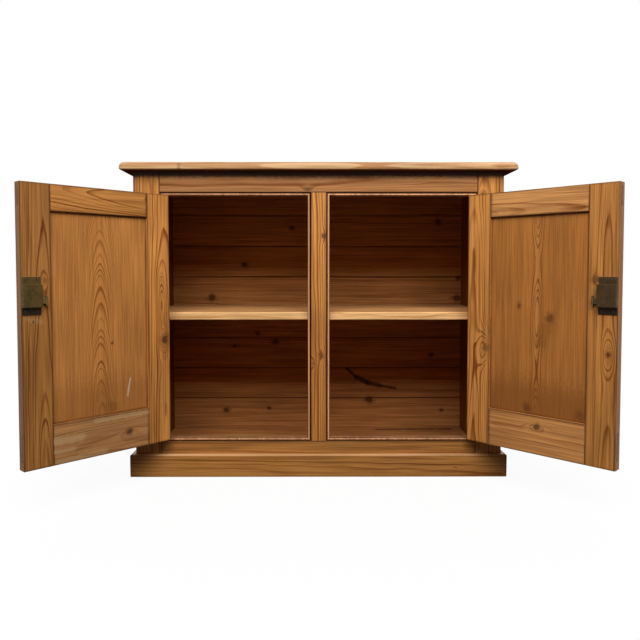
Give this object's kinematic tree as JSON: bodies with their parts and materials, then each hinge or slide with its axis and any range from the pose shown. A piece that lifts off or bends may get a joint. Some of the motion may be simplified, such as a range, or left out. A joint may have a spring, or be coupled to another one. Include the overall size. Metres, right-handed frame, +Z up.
{
  "type": "jelly cupboard",
  "caption": "Low pine side cupboard with a beaded face frame, framed doors on butt hinges, brass rim latches, a fixed shelf and a plinth.",
  "frame": {"origin": "on the floor, middle of the width, in the plane of the face frame's front", "axes": "+X to the right, +Y to the back, +Z up"},
  "size_m": [1.387, 0.7234, 0.852],
  "materials": {
    "waxed_pine": "waxed antique pine",
    "inner_pine": "bare aged pine",
    "hinge_brass": "dull aged brass",
    "lock_brass": "tarnished brass",
    "knob_brass": "worn brass",
    "steel_screws": "darkened slotted screws",
    "iron_fixings": "dark iron"
  },
  "bodies": {
    "carcass": {"back_board_nails": "iron_fixings", "back_boards": "inner_pine", "bottom_rail": "waxed_pine", "floor_board_back": "inner_pine", "floor_board_front": "inner_pine", "frame_hinge_screws": "steel_screws", "left_lower_hinge_frame_leaf": "hinge_brass", "left_lower_hinge_pin": "hinge_brass", "left_opening_bead": "waxed_pine", "left_side": "waxed_pine", "left_stile": "waxed_pine", "left_upper_hinge_frame_leaf": "hinge_brass", "left_upper_hinge_pin": "hinge_brass", "mullion": "waxed_pine", "plinth_front": "waxed_pine", "plinth_left": "waxed_pine", "plinth_right": "waxed_pine", "right_lower_hinge_frame_leaf": "hinge_brass", "right_lower_hinge_pin": "hinge_brass", "right_opening_bead": "waxed_pine", "right_side": "waxed_pine", "right_stile": "waxed_pine", "right_upper_hinge_frame_leaf": "hinge_brass", "right_upper_hinge_pin": "hinge_brass", "shelf": "inner_pine", "top_batten_left": "inner_pine", "top_batten_right": "inner_pine", "top_batten_screws": "iron_fixings", "top_board": "waxed_pine", "top_rail": "waxed_pine"},
    "left_door": {"left_door_bottom_rail": "waxed_pine", "left_door_hinge_screws": "steel_screws", "left_door_hinge_stile": "waxed_pine", "left_door_lock_stile": "waxed_pine", "left_door_panel": "waxed_pine", "left_door_top_rail": "waxed_pine", "left_knob_rose": "knob_brass", "left_lock_case": "lock_brass", "left_lock_plate": "lock_brass", "left_lock_screws": "steel_screws", "left_lower_hinge_door_leaf": "hinge_brass", "left_upper_hinge_door_leaf": "hinge_brass"},
    "left_latch_knob": {"left_knob": "knob_brass", "left_spindle": "knob_brass"},
    "left_bolt": {"left_lock_bolt": "lock_brass"},
    "right_door": {"right_door_bottom_rail": "waxed_pine", "right_door_hinge_screws": "steel_screws", "right_door_hinge_stile": "waxed_pine", "right_door_lock_stile": "waxed_pine", "right_door_panel": "waxed_pine", "right_door_top_rail": "waxed_pine", "right_knob_rose": "knob_brass", "right_lock_case": "lock_brass", "right_lock_plate": "lock_brass", "right_lock_screws": "steel_screws", "right_lower_hinge_door_leaf": "hinge_brass", "right_upper_hinge_door_leaf": "hinge_brass"},
    "right_latch_knob": {"right_knob": "knob_brass", "right_spindle": "knob_brass"},
    "right_bolt": {"right_lock_bolt": "lock_brass"}
  },
  "joints": [
    {"name": "left_door_hinge", "type": "hinge", "parent": "carcass", "child": "left_door", "pos_m": [-0.4195, -0.0035, 0.4515], "axis": [0, 0, -1], "range_deg": [-134.3, 40.7]},
    {"name": "left_knob_turn", "type": "hinge", "parent": "left_door", "child": "left_latch_knob", "pos_m": [-0.64783, -0.28201, 0.5105], "axis": [-0.7157, 0.6984, 0], "range_deg": [0, 40]},
    {"name": "left_bolt_slide", "type": "slide", "parent": "left_door", "child": "left_bolt", "axis": [-0.6984, -0.7157, 0], "range_m": [0, 0.00821]},
    {"name": "right_door_hinge", "type": "hinge", "parent": "carcass", "child": "right_door", "pos_m": [0.4195, -0.0035, 0.4515], "axis": [0, 0, 1], "range_deg": [-134.3, 40.7]},
    {"name": "right_knob_turn", "type": "hinge", "parent": "right_door", "child": "right_latch_knob", "pos_m": [0.64783, -0.28201, 0.5105], "axis": [-0.7157, -0.6984, 0], "range_deg": [0, 40]},
    {"name": "right_bolt_slide", "type": "slide", "parent": "right_door", "child": "right_bolt", "axis": [0.6984, -0.7157, 0], "range_m": [0, 0.00821]}
  ],
  "couplings": [
    {"joint": "left_bolt_slide", "follows": "left_knob_turn", "m_per_rad": 0.011758},
    {"joint": "right_bolt_slide", "follows": "right_knob_turn", "m_per_rad": 0.011758}
  ]
}
